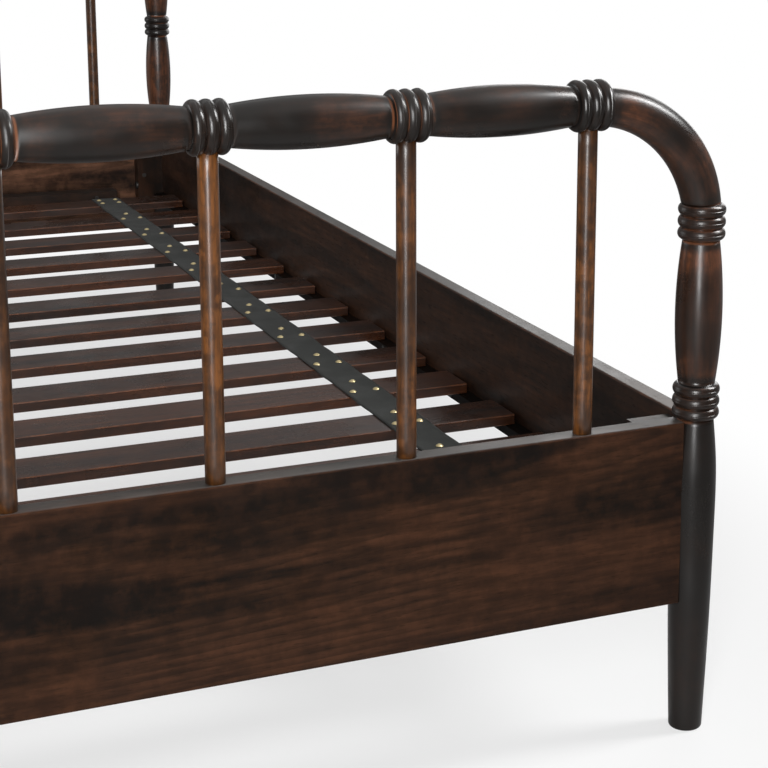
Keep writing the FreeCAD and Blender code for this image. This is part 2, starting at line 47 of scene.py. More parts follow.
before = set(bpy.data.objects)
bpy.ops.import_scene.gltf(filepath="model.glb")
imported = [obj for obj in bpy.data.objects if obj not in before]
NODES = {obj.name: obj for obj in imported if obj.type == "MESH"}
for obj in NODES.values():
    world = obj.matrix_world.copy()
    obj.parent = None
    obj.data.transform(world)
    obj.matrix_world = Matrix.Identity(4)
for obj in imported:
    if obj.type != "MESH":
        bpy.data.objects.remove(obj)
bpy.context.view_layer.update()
ENDS = ("foot", "head")
SIDES = ("left", "right")


def middle(node):
    low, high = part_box(node)
    return (low + high) / 2


POST_X = middle("foot_post_right").x
END_Y = {end: middle(f"{end}_post_right").y for end in ENDS}
RAIL_Z = {end: middle(f"{end}_top_rail").z for end in ENDS}
PANEL_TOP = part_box("foot_panel")[1].z
SPINDLE_XS = [middle(f"foot_spindle_{i}").x for i in range(1, 9)]
SLATS = [f"slat_{i}" for i in range(1, 14)]

RINGS = {"foot": 2, "head": 5}          # groups of beads on each post
RING_BASE = PANEL_TOP + 0.001           # where a post's lowest ring starts
FOOT_EDGE = 0.003                       # rounding of a post's foot
LEG_SHARES = (0.18, 0.40, 0.68, 0.87)   # heights on the leg, as shares of RING_BASE
LEG_RADII = (0.0174, 0.0195, 0.0217, 0.0232, 0.0226)    # at the foot's edge and at those heights
SHADOW, SHADOW_RISE = 0.004, -0.8       # painted shade: the colour darkens towards a ring over about this length, to this rise
IN_PANEL, IN_RING = 0.004, 0.010        # how far a spindle's ends are hidden
STRAP_DIP, STRAP_INSET = 0.0008, 0.0003

# How far the wood shows through the stain: more above 0, less below.
BARREL_TONE, LEG_TONE, RAIL_TONE, BEND_TONE = 1.05, -1.65, -1.0, 0.3
SPINDLE_TONES = (-0.5, 0.6)


# --- settings ---
def length(name, description, default):
    return FloatProperty(name=name, description=description, default=default, unit="LENGTH", precision=4)


def colour(name, description, default):
    return FloatVectorProperty(name=name, description=description, default=default, size=3, min=0, max=1,
                               subtype="COLOR")


def watts(name, description, default):
    return FloatProperty(name=name, description=description, default=default, min=0, subtype="POWER")


class BedTurning(bpy.types.PropertyGroup):
    post_neck: length("Post neck", "Radius of a post beside a ring", 0.0186)
    post_belly: length("Post belly", "Radius of a post between two rings", 0.0237)
    post_bead: length("Post bead", "Radius of a post's beads", 0.0239)
    rail_neck: length("Rail neck", "Radius of a top rail beside a ring", 0.0192)
    rail_belly: length("Rail belly", "Radius of a top rail between two rings", 0.0244)
    rail_bead: length("Rail bead", "Radius of a top rail's beads", 0.025)
    bead_pitch: length("Bead width", "Width of one bead along the turning", 0.0122)
    groove: length("Groove", "Depth of the groove between two beads", 0.0033)
    ring_step: length("Ring step", "Distance from ring to ring up a post", 0.184)
    bend: length("Bend", "Radius of a bent corner's centre line", 0.1195)
    bend_drop: length("Bend drop", "How far the bend's crown lies under the top rail's axis", 0.002)
    bend_rail_end: length("Bend at the rail", "Radius of a bent corner at the top rail", 0.0182)
    bend_post_end: length("Bend at the post", "Radius of a bent corner at the post", 0.0191)
    bend_swell: length("Bend swell", "Added to that halfway round", 0.0024)
    spindle: length("Spindle", "Radius of a spindle", 0.0095)
    beads: IntProperty(name="Beads", description="Beads in a ring", default=3, min=1, max=6)
    around: IntProperty(name="Facets", description="Facets around a turning", default=72, min=12, max=256)


class BedFinish(bpy.types.PropertyGroup):
    dark: colour("Dark stain", "Stain where it lies thick", (0.0048, 0.0036, 0.0028))
    warm: colour("Warm stain", "Stain where the wood shows through", (0.088, 0.0300, 0.0118))
    rubbed: colour("Rubbed stain", "Wood on rubbed edges and in grooves", (0.17, 0.058, 0.022))
    board_dark: colour("Board, dark figure", "Dark figure of the panels and rails", (0.0048, 0.0035, 0.0028))
    board_warm: colour("Board, warm figure", "Warm figure of the panels and rails", (0.045, 0.0186, 0.0092))
    amber_dark: colour("Amber, dark grain", "Dark grain of the spindles", (0.0105, 0.0043, 0.0017))
    amber_warm: colour("Amber, warm grain", "Warm grain of the spindles", (0.134, 0.0460, 0.0086))
    slat_dark: colour("Slat, dark grain", "Dark grain of the slats", (0.0050, 0.0030, 0.0024))
    slat_warm: colour("Slat, warm grain", "Warm grain of the slats", (0.062, 0.0195, 0.0070))
    webbing: colour("Webbing", "Yarn of the straps", (0.0135, 0.0150, 0.0130))
    brass: colour("Brass", "Heads of the tacks", (0.70, 0.58, 0.32))
    steel: colour("Blackened steel", "Angles, screws and bolts", (0.06, 0.058, 0.055))
    plastic: colour("Foot pads", "Moulded pads of the levelling feet", (0.014, 0.014, 0.015))


class BedStudio(bpy.types.PropertyGroup):
    key: watts("Key light", "Power of the large upright light at the front", 72.0)
    top: watts("Top light", "Power of the light high at the right", 5.5)
    fill: watts("Fill light", "Power of the wide light far in front", 32.0)
    side: watts("Side lights", "Power of the wide light behind the right side; the left one is weaker", 50.0)
    well: watts("Well light", "Power of the light over the slats, towards the head", 5.5)
    room: FloatProperty(name="Room", description="Strength of the pale room around the bed", default=0.34, min=0)
    floor: colour("Floor", "Colour of the studio floor", (0.66, 0.66, 0.66))


# --- meshes from grids of points ---
def new_piece(name, points, faces, body, replaced, material, fields=()):
    """A smooth mesh from whole arrays: points (n, 3), faces (m, 3 or 4) and per-point fields by name."""
    mesh = bpy.data.meshes.new(name)
    mesh.vertices.add(len(points))
    mesh.vertices.foreach_set("co", points.astype(np.float32).ravel())
    loops = [np.asarray(f, np.int32) for f in faces]
    mesh.loops.add(sum(f.size for f in loops))
    mesh.loops.foreach_set("vertex_index", np.concatenate([f.ravel() for f in loops]))
    sizes = np.concatenate([np.full(len(f), f.shape[1], np.int32) for f in loops])
    mesh.polygons.add(len(sizes))
    mesh.polygons.foreach_set("loop_start", np.concatenate([[0], np.cumsum(sizes)[:-1]]).astype(np.int32))
    mesh.polygons.foreach_set("use_smooth", np.ones(len(sizes), bool))
    for field, values in fields:
        values = np.asarray(values, np.float32)
        kind = "FLOAT_VECTOR" if values.ndim == 2 else "FLOAT"
        data = mesh.attributes.new(field, kind, "POINT").data
        data.foreach_set("vector" if values.ndim == 2 else "value", values.ravel())
    mesh.update(calc_edges=True)
    mesh.validate()
    mesh.materials.append(material)
    piece = bpy.data.objects.new(name, mesh)
    bpy.context.scene.collection.objects.link(piece)
    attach(piece, body)
    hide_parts(replaced)
    return piece


def tube_faces(rows, around):
    """Quads of a tube of rows x around points, closed around, and triangles of the fans that shut both ends.

    Point number = row * around + step; the two middle points of the ends come last."""
    row, step = np.meshgrid(np.arange(rows - 1), np.arange(around), indexing="ij")
    here, aside = row * around + step, row * around + (step + 1) % around
    quads = np.stack([here, aside, aside + around, here + around], -1).reshape(-1, 4)
    step = np.arange(around)
    beside = (step + 1) % around
    first, last = np.full(around, rows * around), np.full(around, rows * around + 1)
    top = (rows - 1) * around
    fans = np.concatenate([np.stack([first, beside, step], -1), np.stack([last, top + step, top + beside], -1)])
    return quads, fans


def swept(name, centres, across, up, radii, rise, tone, seed, slot, replaced, material, around, clip=None):
    """A round bar along a line: point = centre + radius * (cos a * across + sin a * up), for every row and angle a.

    Its "grain_place" field is (radius * cos a, radius * sin a, distance along the line), so that grain follows the
    bar round a bend. "rise" is below 0 near a ring and in a groove and above 0 on a bead's crest, and "tone" says
    how far the wood shows through the stain."""
    angle = np.linspace(0, 2 * math.pi, around, endpoint=False)
    cos, sin = np.cos(angle)[None, :, None], np.sin(angle)[None, :, None]
    skin = centres[:, None] + radii[:, None, None] * (cos * across[:, None] + sin * up[:, None])
    if clip is not None:
        skin = clip(skin)
    along = np.concatenate([[0], np.cumsum(np.linalg.norm(np.diff(centres, axis=0), axis=1))])
    place = np.stack(np.broadcast_arrays(radii[:, None] * cos[..., 0], radii[:, None] * sin[..., 0],
                                         along[:, None]), -1)
    ends = np.stack([skin[0].mean(0), skin[-1].mean(0)])
    points = np.concatenate([skin.reshape(-1, 3), ends])
    place = np.concatenate([place.reshape(-1, 3), [[0, 0, along[0]], [0, 0, along[-1]]]])
    rise = np.concatenate([np.repeat(rise, around), [0, 0]])
    quads, fans = tube_faces(len(centres), around)
    shift = np.random.default_rng(seed).uniform(-4, 4, 3)
    tone = np.concatenate([np.repeat(np.broadcast_to(tone, len(centres)), around), [0, 0]])
    fields = [("grain_place", place + shift), ("rise", rise), ("tone", tone)]
    return new_piece(name, points, (quads, fans), "bedstead", replaced, material, fields)


def turned(name, profile, start, direction, across, tone, *rest):
    """A straight turning from its profile's rows of (distance along, radius, rise)."""
    direction, across, rows = np.asarray(direction, float), np.asarray(across, float), len(profile)
    centres = np.asarray(start, float) + profile[:, :1] * direction
    return swept(name, centres, np.tile(across, (rows, 1)), np.tile(np.cross(direction, across), (rows, 1)),
                 profile[:, 1], profile[:, 2], tone, *rest)


# --- profiles of the turned work ---
def smooth_through(places, values, at):
    """Natural cubic spline: the curve through the given points whose bend is zero at both ends."""
    places, values = np.asarray(places, float), np.asarray(values, float)
    step, slope = np.diff(places), np.diff(values) / np.diff(places)
    n = len(places)
    system, right = np.eye(n), np.zeros(n)
    inner = np.arange(1, n - 1)
    system[inner, inner - 1], system[inner, inner + 1] = step[:-1], step[1:]
    system[inner, inner] = 2 * (step[:-1] + step[1:])
    right[inner] = 6 * (slope[1:] - slope[:-1])
    bend = np.linalg.solve(system, right)
    i = np.clip(np.searchsorted(places, at) - 1, 0, n - 2)
    near, far = at - places[i], places[i + 1] - at
    return ((bend[i] * far ** 3 + bend[i + 1] * near ** 3) / (6 * step[i])
            + (values[i] / step[i] - bend[i] * step[i] / 6) * far
            + (values[i + 1] / step[i] - bend[i + 1] * step[i] / 6) * near)


def half_bead(crest, crest_r, foot, foot_r, rising, rows=9):
    """Half a bead: a circle's arc, level at the crest. Its angle grows evenly from crest to foot."""
    width, drop = abs(foot - crest), crest_r - foot_r
    bow = (width ** 2 + drop ** 2) / (2 * drop)
    turn = np.linspace(0, math.atan2(width, bow - drop), rows)
    along = crest + math.copysign(1, foot - crest) * bow * np.sin(turn)
    half = np.stack([along, crest_r - bow * (1 - np.cos(turn))], -1)
    return half[::-1] if rising else half


def ring_profile(turning, start, neck_r, bead_r, end_neck_r):
    """Beads side by side; rows of (along, radius, rise). Rise is negative in the grooves, positive on the crests."""
    rows = []
    for i in range(turning.beads):
        low, crest, high = (start + (i + share) * turning.bead_pitch for share in (0, 0.5, 1))
        low_r = neck_r if i == 0 else bead_r - turning.groove
        high_r = end_neck_r if i == turning.beads - 1 else bead_r - turning.groove
        rows.append(half_bead(crest, bead_r, low, low_r, True))
        rows.append(half_bead(crest, bead_r, high, high_r, False))
    rows = np.concatenate(rows)
    rise = np.clip((rows[:, 1] - (bead_r - turning.groove)) / turning.groove * 2 - 1, -1, 1)
    return np.column_stack([rows, rise])


def barrel_profile(start, end, neck_r, belly_r, rows=33):
    """The swelling between two rings: radius = the circle's arc through both necks and the belly."""
    half, bulge = (end - start) / 2, belly_r - neck_r
    bow = (half ** 2 + bulge ** 2) / (2 * bulge)
    along = np.linspace(-half, half, rows)
    radius = belly_r - bow + np.sqrt(bow ** 2 - along ** 2)
    near_ring = np.exp(-(half - np.abs(along)) / SHADOW)
    return np.stack([along + (start + end) / 2, radius, SHADOW_RISE * near_ring], -1)


def post_profile(turning, rings):
    """Rounded foot, tapered leg as a cubic spline, then rings with barrels between them."""
    turn = np.linspace(0, math.pi / 2, 7)[:-1]
    foot = np.stack([FOOT_EDGE * (1 - np.cos(turn)), LEG_RADII[0] - FOOT_EDGE * (1 - np.sin(turn)),
                     0.6 * np.cos(turn)], -1)
    along = np.linspace(FOOT_EDGE, RING_BASE, 61)
    heights = [FOOT_EDGE, *(share * RING_BASE for share in LEG_SHARES), RING_BASE]
    radius = smooth_through(heights, [*LEG_RADII, turning.post_neck], along)
    rows = [foot, np.stack([along, radius, SHADOW_RISE * np.exp(-(RING_BASE - along) / SHADOW)], -1)]
    ring_length = turning.beads * turning.bead_pitch
    for i in range(rings):
        base, last = RING_BASE + i * turning.ring_step, i == rings - 1
        rows.append(ring_profile(turning, base, turning.post_neck, turning.post_bead,
                                 turning.bend_post_end if last else turning.post_neck))
        if not last:
            rows.append(barrel_profile(base + ring_length, base + turning.ring_step, turning.post_neck,
                                       turning.post_belly))
    return np.concatenate(rows)


def rail_profile(turning):
    """A ring over each spindle with barrels between them."""
    rows, half_ring = [], turning.beads * turning.bead_pitch / 2
    for i, x in enumerate(SPINDLE_XS):
        first, last = i == 0, i == len(SPINDLE_XS) - 1
        rows.append(ring_profile(turning, x - half_ring, turning.bend_rail_end if first else turning.rail_neck,
                                 turning.rail_bead, turning.bend_rail_end if last else turning.rail_neck))
        if not last:
            rows.append(barrel_profile(x + half_ring, SPINDLE_XS[i + 1] - half_ring, turning.rail_neck,
                                       turning.rail_belly))
    return np.concatenate(rows)


# --- shader node groups ---
class Nodes:
    """A short way to add nodes to a tree and link them."""

    def __init__(self, tree):
        self.tree = tree

    def add(self, kind, values=None, **settings):
        node = self.tree.nodes.new(kind)
        for name, value in settings.items():
            setattr(node, name, value)
        for name, value in (values or {}).items():
            self.put(node.inputs[name], value)
        return node

    def put(self, socket, value):
        if isinstance(value, bpy.types.NodeSocket):
            self.tree.links.new(value, socket)
        elif isinstance(value, (tuple, list)) and len(value) == 3 and socket.type == "RGBA":
            socket.default_value = (*value, 1)
        else:
            socket.default_value = value

    def use(self, group, values):
        return self.add("ShaderNodeGroup", values, node_tree=group).outputs

    def math(self, operation, *values, clamp=False):
        node = self.add("ShaderNodeMath", operation=operation, use_clamp=clamp)
        for socket, value in zip(node.inputs, values):
            self.put(socket, value)
        return node.outputs[0]

    def plus(self, a, b, clamp=False):
        return self.math("ADD", a, b, clamp=clamp)

    def times(self, a, b):
        return self.math("MULTIPLY", a, b)

    def largest(self, value, *others):
        for other in others:
            value = self.math("MAXIMUM", value, other)
        return value

    def size(self, a, b):
        """Length of the flat vector (a, b)."""
        return self.math("SQRT", self.plus(self.times(a, a), self.times(b, b)))

    def vector(self, operation, a, b):
        return self.add("ShaderNodeVectorMath", {0: a, 1: b}, operation=operation).outputs[0]

    def split(self, vector):
        """The three parts of a vector."""
        return self.add("ShaderNodeSeparateXYZ", {"Vector": vector}).outputs

    def mix(self, share, a, b):
        node = self.add("ShaderNodeMix", data_type="RGBA", blend_type="MIX", clamp_factor=True)
        for socket, value in zip((node.inputs[0], node.inputs[6], node.inputs[7]), (share, a, b)):
            self.put(socket, value)
        return node.outputs[2]

    def over(self, base, mask, amount, cover):
        """The cover's colour laid over the base, by the mask times an amount."""
        return self.mix(self.times(mask, amount), base, cover)

    def between(self, value, low, high, out_low=0.0, out_high=1.0):
        node = self.add("ShaderNodeMapRange", interpolation_type="SMOOTHSTEP")
        for socket, given in zip(node.inputs, (value, low, high, out_low, out_high)):
            self.put(socket, given)
        return node.outputs[0]

    def noise(self, place, scale, detail=4.0, roughness=0.55, distortion=0.0, output="Fac"):
        return self.add("ShaderNodeTexNoise", {"Vector": place, "Scale": scale, "Detail": detail,
                                               "Roughness": roughness, "Distortion": distortion}).outputs[output]


def node_group(name, inputs, outputs, build):
    """A shader node group, built once. An input's default is a number, or three numbers or None for a vector."""
    found = bpy.data.node_groups.get(name)
    if found:
        return found
    tree = bpy.data.node_groups.new(name, "ShaderNodeTree")
    for socket, default in inputs.items():
        kind = "NodeSocketFloat" if isinstance(default, float) else "NodeSocketVector"
        made = tree.interface.new_socket(name=socket, in_out="INPUT", socket_type=kind)
        if default is not None:
            made.default_value = default
    for socket in outputs:
        tree.interface.new_socket(name=socket, in_out="OUTPUT", socket_type="NodeSocketFloat")
    nodes = Nodes(tree)
    given, result = tree.nodes.new("NodeGroupInput"), tree.nodes.new("NodeGroupOutput")
    for socket, value in build(nodes, given.outputs).items():
        tree.links.new(value, result.inputs[socket])
    return tree


def grain_group():
    """Wood grain along the Z of Place. Rings are sawn growth rings: the distance from a heart line that leans away
    from the board, divided by the ring width, wound by noise; they show as near-straight lines where the heart is
    far and as arches where it comes near. Streak, Figure, Cloud, Mottle and Pore are noises, drawn out or even."""
    def build(n, given):
        place, fineness = given["Place"], given["Fineness"]
        stretch = n.add("ShaderNodeCombineXYZ", {"X": 1.0, "Y": 1.0, "Z": n.math("DIVIDE", 1.0, given["Length"])})
        drawn = n.vector("MULTIPLY", place, stretch.outputs[0])
        sway = n.vector("MULTIPLY", n.noise(drawn, 9.0, 2.0, output="Color"), (0.012, 0.012, 0.0))
        drifted = n.vector("ADD", drawn, sway)
        streak = n.noise(drifted, fineness, 6.0, 0.62)
        figure = n.noise(drifted, n.times(fineness, 0.17), 3.0, 0.5, 0.4)
        cloud = n.noise(place, given["Cloud Size"], 3.0, 0.5)
        mottle = n.noise(place, n.times(given["Cloud Size"], 9.0), 5.0, 0.62)
        pores = n.noise(drawn, n.times(fineness, 5.0), 2.0, 0.5)
        x, y, z = n.split(n.vector("SUBTRACT", place, given["Heart"]))
        wind = n.noise(drifted, 14.0, 3.0, 0.5)
        reach = n.size(n.plus(x, n.times(z, given["Lean"])), n.plus(y, n.times(wind, 0.035)))
        turn = n.math("DIVIDE", n.plus(reach, n.times(wind, 0.05)), given["Ring Width"])
        share = n.math("FRACT", turn)
        return {"Streak": n.between(streak, 0.34, 0.66), "Figure": n.between(figure, 0.36, 0.64),
                "Cloud": n.between(cloud, 0.32, 0.70), "Mottle": n.between(mottle, 0.38, 0.64),
                "Rings": n.times(n.between(share, 0.0, 0.16), n.between(share, 1.0, 0.35, 0.25, 1.0)),
                "Pore": n.between(pores, 0.60, 0.72)}
    return node_group("wood_grain", {"Place": None, "Length": 14.0, "Fineness": 220.0, "Cloud Size": 7.0,
                                     "Heart": (0.0, 0.0, 0.0), "Lean": 0.05, "Ring Width": 0.008},
                      ("Streak", "Figure", "Cloud", "Mottle", "Rings", "Pore"), build)


def handling_group():
    """Soft smudges left by polishing and hands, and fine specks of lint."""
    def build(n, given):
        smear, speck = n.noise(given["Place"], given["Size"]), n.noise(given["Place"], 900.0, 1.0)
        return {"Smudge": n.between(smear, 0.3, 0.7), "Speck": n.between(speck, 0.66, 0.74)}
    return node_group("handling", {"Place": None, "Size": 14.0}, ("Smudge", "Speck"), build)


def edge_group():
    """Worn edges of a squared board: where the surface faces between two of the bed's directions, it is the rounding
    of an edge. Mask = 1 minus the largest share of the normal, widened and broken up by noise."""
    def build(n, given):
        x, y, z = [n.math("ABSOLUTE", part) for part in n.split(given["Normal"])]
        rounding = n.between(n.largest(x, y, z), 0.995, 0.90)
        gaps = n.between(n.noise(given["Place"], 38.0, 4.0, 0.65), 0.40, 0.60, 0.25, 1.0)
        return {"Mask": n.times(n.times(rounding, gaps), given["Amount"])}
    return node_group("edge_wear", {"Normal": None, "Place": None, "Amount": 0.5}, ("Mask",), build)


def dust_and_sheen_group():
    """A pale film on level tops, partly real dust and partly painted sheen: the upward share of the normal, thicker
    where the smudges are.
    """
    def build(n, given):
        level = n.between(n.split(given["Normal"])[2], 0.75, 0.98)
        patchy = n.plus(0.4, n.times(given["Smudge"], 0.6))
        return {"Mask": n.times(level, n.times(patchy, given["Amount"]))}
    return node_group("dust_film", {"Normal": None, "Smudge": 0.5, "Amount": 0.1}, ("Mask",), build)


def weave_group():
    """Plain weave: warp and weft waves that pass over each other in turn. Height = the larger of the two waves.
    Shade, low where the height is low between the yarns, is painted shade.
    """
    def build(n, given):
        across, along, _ = n.split(given["UV"])
        x, y = n.times(across, given["Warp"]), n.times(along, given["Weft"])
        warp, weft = [n.math("ABSOLUTE", n.math("SINE", n.times(wave, math.pi))) for wave in (x, y)]
        turn = n.math("PINGPONG", n.plus(n.math("FLOOR", x), n.math("FLOOR", y)), 1.0)
        raised = n.times(warp, n.plus(0.55, n.times(turn, 0.45)))
        sunk = n.times(weft, n.math("SUBTRACT", 1.0, n.times(turn, 0.45)))
        fuzz = n.noise(given["UV"], 2600.0, 2.0)
        height = n.plus(n.largest(raised, sunk), n.times(fuzz, 0.25))
        return {"Height": height, "Shade": n.between(height, 0.2, 1.1)}
    return node_group("weave", {"UV": None, "Warp": 600.0, "Weft": 500.0}, ("Height", "Shade"), build)


# --- materials ---
def varnish(weight, roughness, ior):
    return {"Coat Weight": weight, "Coat Roughness": roughness, "Coat IOR": ior}


TURNED_VARNISH = varnish(0.38, 0.26, 1.5)
SPINDLE_VARNISH = varnish(0.75, 0.28, 1.5)
BOARD_VARNISH = varnish(0.03, 0.14, 1.4)
# Painted sheen, partly dust: the pale grey laid over level tops.
DUST_AND_SHEEN = (0.20, 0.19, 0.18)
LINT = (0.06, 0.06, 0.055)


def stains(*names):
    """The finish's colours of those names."""
    finish = bpy.context.scene.bed_finish
    return [list(getattr(finish, name)) for name in names]


def shade(tint, factor):
    return [x * factor for x in tint]


def new_material(name, constants):
    """A material with one Principled shader; its even numbers sit on the shader's own sockets."""
    material = bpy.data.materials.new(name)
    material.use_nodes = True
    nodes = Nodes(material.node_tree)
    shader = next(x for x in material.node_tree.nodes if x.type == "BSDF_PRINCIPLED")
    for socket, value in constants.items():
        nodes.put(shader.inputs[socket], value)
    return material, nodes, shader


def surface(nodes, shader, base, roughness, height, strength, distance):
    """Links a base colour, a roughness and a bump to the shader."""
    nodes.put(shader.inputs["Base Color"], base)
    nodes.put(shader.inputs["Roughness"], roughness)
    bump = nodes.add("ShaderNodeBump", {"Height": height, "Strength": strength, "Distance": distance})
    nodes.put(shader.inputs["Normal"], bump.outputs[0])


def turned_material(name, dark, warm, rubbed, fineness=260.0, gloss=0.33, depth=0.00002, thin=0.0,
                    coat=TURNED_VARNISH):
    """Stained turned wood: grain follows the bar, stain is thin in patches and rubbed off beside the grooves, and
    painted shade darkens the bottoms of the grooves and the bar beside a ring.

    Share of the warm stain = (cloud + thin) times (mottle and figure), then raised or lowered by the piece's tone."""
    material, n, shader = new_material(name, {**coat, "IOR": 1.32})
    place = n.add("ShaderNodeAttribute", attribute_name="grain_place").outputs["Vector"]
    rise = n.add("ShaderNodeAttribute", attribute_name="rise").outputs["Fac"]
    tone = n.add("ShaderNodeAttribute", attribute_name="tone").outputs["Fac"]
    grain = n.use(grain_group(), {"Place": place, "Length": 11.0, "Fineness": fineness, "Cloud Size": 9.0})
    smudge = n.use(handling_group(), {"Place": place, "Size": 16.0})["Smudge"]
    patches = n.times(n.plus(n.times(grain["Cloud"], 1.15), thin),
                      n.plus(0.15, n.plus(n.times(grain["Mottle"], 0.60), n.times(grain["Figure"], 0.35))))
    worn = n.plus(n.times(patches, n.plus(1.0, n.times(tone, 0.55))), n.times(n.largest(tone, 0.0), 0.15), clamp=True)
    base = n.mix(worn, dark, warm)
    # Darker on the rings and on the foot's rounding; on a bar beside a ring and at a bend's joints this is painted
    # shade.
    base = n.over(base, n.between(n.math("ABSOLUTE", rise), 0.02, 0.2), 0.8, dark)
    base = n.over(base, grain["Streak"], 0.60, dark)
    base = n.over(base, grain["Pore"], 0.22, dark)
    beside_groove = n.between(n.math("ABSOLUTE", n.plus(rise, 0.62)), 0.24, 0.04)
    base = n.over(base, beside_groove, n.between(smudge, 0.50, 0.90, 0.02, 0.65), rubbed)
    # Painted shade: near black at the bottoms of the grooves and where a ring meets its neck.
    base = n.over(base, n.between(rise, -0.80, -0.97), 0.85, shade(dark, 0.4))
    roughness = n.plus(n.between(smudge, 0.0, 1.0, gloss - 0.06, gloss + 0.10), n.times(grain["Pore"], 0.05))
    height = n.math("SUBTRACT", n.times(grain["Streak"], 0.6), grain["Pore"])
    surface(n, shader, base, roughness, height, 0.05, depth)
    return material


def along_axis(nodes, axis):
    """Object coordinates turned so that the grain's direction is Z."""
    place = nodes.add("ShaderNodeTexCoord").outputs["Object"]
    if axis == "Z":
        return place
    parts = nodes.split(place)
    order = {"X": "YZX", "Y": "ZXY"}[axis]
    return nodes.add("ShaderNodeCombineXYZ", {to: parts[source] for to, source in zip("XYZ", order)}).outputs[0]


def board_material(name, axis, dark, warm, rubbed, wear, gloss=0.33, fineness=95.0, cloud=5.0, grain_length=9.0,
                   heart=(-1.6, 0.30, 0.0), lean=0.03, ring=0.009, rings=0.5, curl=0.0, shine=1.25, dust=0.1,
                   relief=0.15, per_piece=False):
    """Stained flat board: sawn rings and streaks along one axis, a faint curl across them, thin stain on the rounded
    edges, and on level tops a pale film that is partly dust and partly painted sheen. Curl = the sine of the distance
    along the grain, where the cloud shows it.
    Shine is the stain's IOR, and per_piece moves the grain and the tone by each piece's own random number."""
    material, n, shader = new_material(name, {**BOARD_VARNISH, "IOR": shine})
    place = along_axis(n, axis)
    if per_piece:
        chance = n.add("ShaderNodeObjectInfo").outputs["Random"]
        moved = n.add("ShaderNodeCombineXYZ", {"Y": n.times(chance, 0.9), "Z": n.times(chance, 7.0)})
        place = n.vector("ADD", place, moved.outputs[0])
    grain = n.use(grain_group(), {"Place": place, "Length": grain_length, "Fineness": fineness,
                                  "Cloud Size": cloud, "Heart": heart, "Lean": lean, "Ring Width": ring})
    smudge = n.use(handling_group(), {"Place": place, "Size": 9.0})["Smudge"]
    normal = n.add("ShaderNodeTexCoord").outputs["Normal"]
    edge = n.use(edge_group(), {"Normal": normal, "Place": place, "Amount": wear})
    shown = n.plus(n.times(grain["Figure"], 0.70),
                   n.plus(n.times(grain["Cloud"], 0.10), n.times(grain["Mottle"], 0.28)))
    if per_piece:
        shown = n.plus(n.times(shown, 0.75), n.times(chance, 0.3))
    base = n.mix(shown, dark, warm)
    late = n.times(n.math("SUBTRACT", 1.0, grain["Rings"]), n.between(smudge, 0.1, 0.9, 0.25, 1.0))
    base = n.over(base, late, rings, dark)
    base = n.over(base, grain["Streak"], 0.50, dark)
    base = n.over(base, grain["Pore"], 0.45, shade(dark, 0.5))
    if curl:
        phase = n.times(n.plus(n.split(place)[2], n.times(grain["Mottle"], 0.010)), 560.0)
        wave = n.times(n.plus(n.times(n.math("SINE", phase), 0.5), 0.5), grain["Cloud"])
        base = n.over(base, wave, curl, dark)
    base = n.mix(edge["Mask"], base, rubbed)
    # Painted sheen, partly dust: a pale grey over the level tops.
    film = n.use(dust_and_sheen_group(), {"Normal": normal, "Smudge": smudge, "Amount": dust})
    base = n.mix(film["Mask"], base, DUST_AND_SHEEN)
    roughness = n.plus(n.between(smudge, 0.0, 1.0, gloss - 0.05, gloss + 0.12), n.times(grain["Pore"], 0.12))
    height = n.math("SUBTRACT", n.times(grain["Streak"], 0.7), grain["Pore"])
    surface(n, shader, base, roughness, height, relief, 0.00012)
    return material


def webbing_material(yarn):
    """Woven strap: darker between the yarns, which is painted shade, with a little lint."""
    material, n, shader = new_material("charcoal_webbing", {"Sheen Weight": 0.04, "Sheen Roughness": 0.5,
                                                            "Specular IOR Level": 0.25})
    uv = n.add("ShaderNodeUVMap", uv_map="cloth").outputs[0]
    weave = n.use(weave_group(), {"UV": uv, "Warp": 640.0, "Weft": 420.0})
    hand = n.use(handling_group(), {"Place": uv, "Size": 12.0})
    # Painted shade between the yarns, from the weave's Shade.
    base = n.over(n.mix(weave["Shade"], shade(yarn, 0.45), yarn), hand["Speck"], 0.25, LINT)
    surface(n, shader, base, n.between(hand["Smudge"], 0.0, 1.0, 0.62, 0.85), weave["Height"], 0.6, 0.0004)
    return material


def metal_material(name, tint, gloss, scratch, tarnish):
    """Plated or polished metal: fine scratches in the bump, duller and darker in patches."""
    material, n, shader = new_material(name, {"Metallic": 1.0})
    place = n.add("ShaderNodeTexCoord").outputs["Object"]
    smudge = n.use(handling_group(), {"Place": place, "Size": 60.0})["Smudge"]
    surface(n, shader, n.mix(smudge, shade(tint, tarnish), tint), n.between(smudge, 0.0, 1.0, gloss + 0.12, gloss),
            n.noise(place, 1400.0, 3.0), scratch, 0.00003)
    return material


def plastic_material(tint):
    """Moulded plastic with a pebbled skin."""
    material, n, shader = new_material("foot_pad_plastic", {"IOR": 1.5})
    place = n.add("ShaderNodeTexCoord").outputs["Object"]
    smudge = n.use(handling_group(), {"Place": place, "Size": 40.0})["Smudge"]
    pebble = n.add("ShaderNodeTexVoronoi", {"Vector": place, "Scale": 1500.0})
    surface(n, shader, n.mix(smudge, tint, shade(tint, 1.8)), n.between(smudge, 0.0, 1.0, 0.5, 0.68),
            pebble.outputs["Distance"], 0.25, 0.0001)
    return material


def finished(name, make):
    """The material of that name, made the first time it is asked for."""
    return bpy.data.materials.get(name) or make()


def turned_stain():
    return finished("espresso_turning", lambda: turned_material(
        "espresso_turning", *stains("dark", "warm", "rubbed")))


def dress(node, material):
    """Gives a frame's own piece its finish."""
    piece = NODES[node]
    piece.data.materials.clear()
    piece.data.materials.append(material)


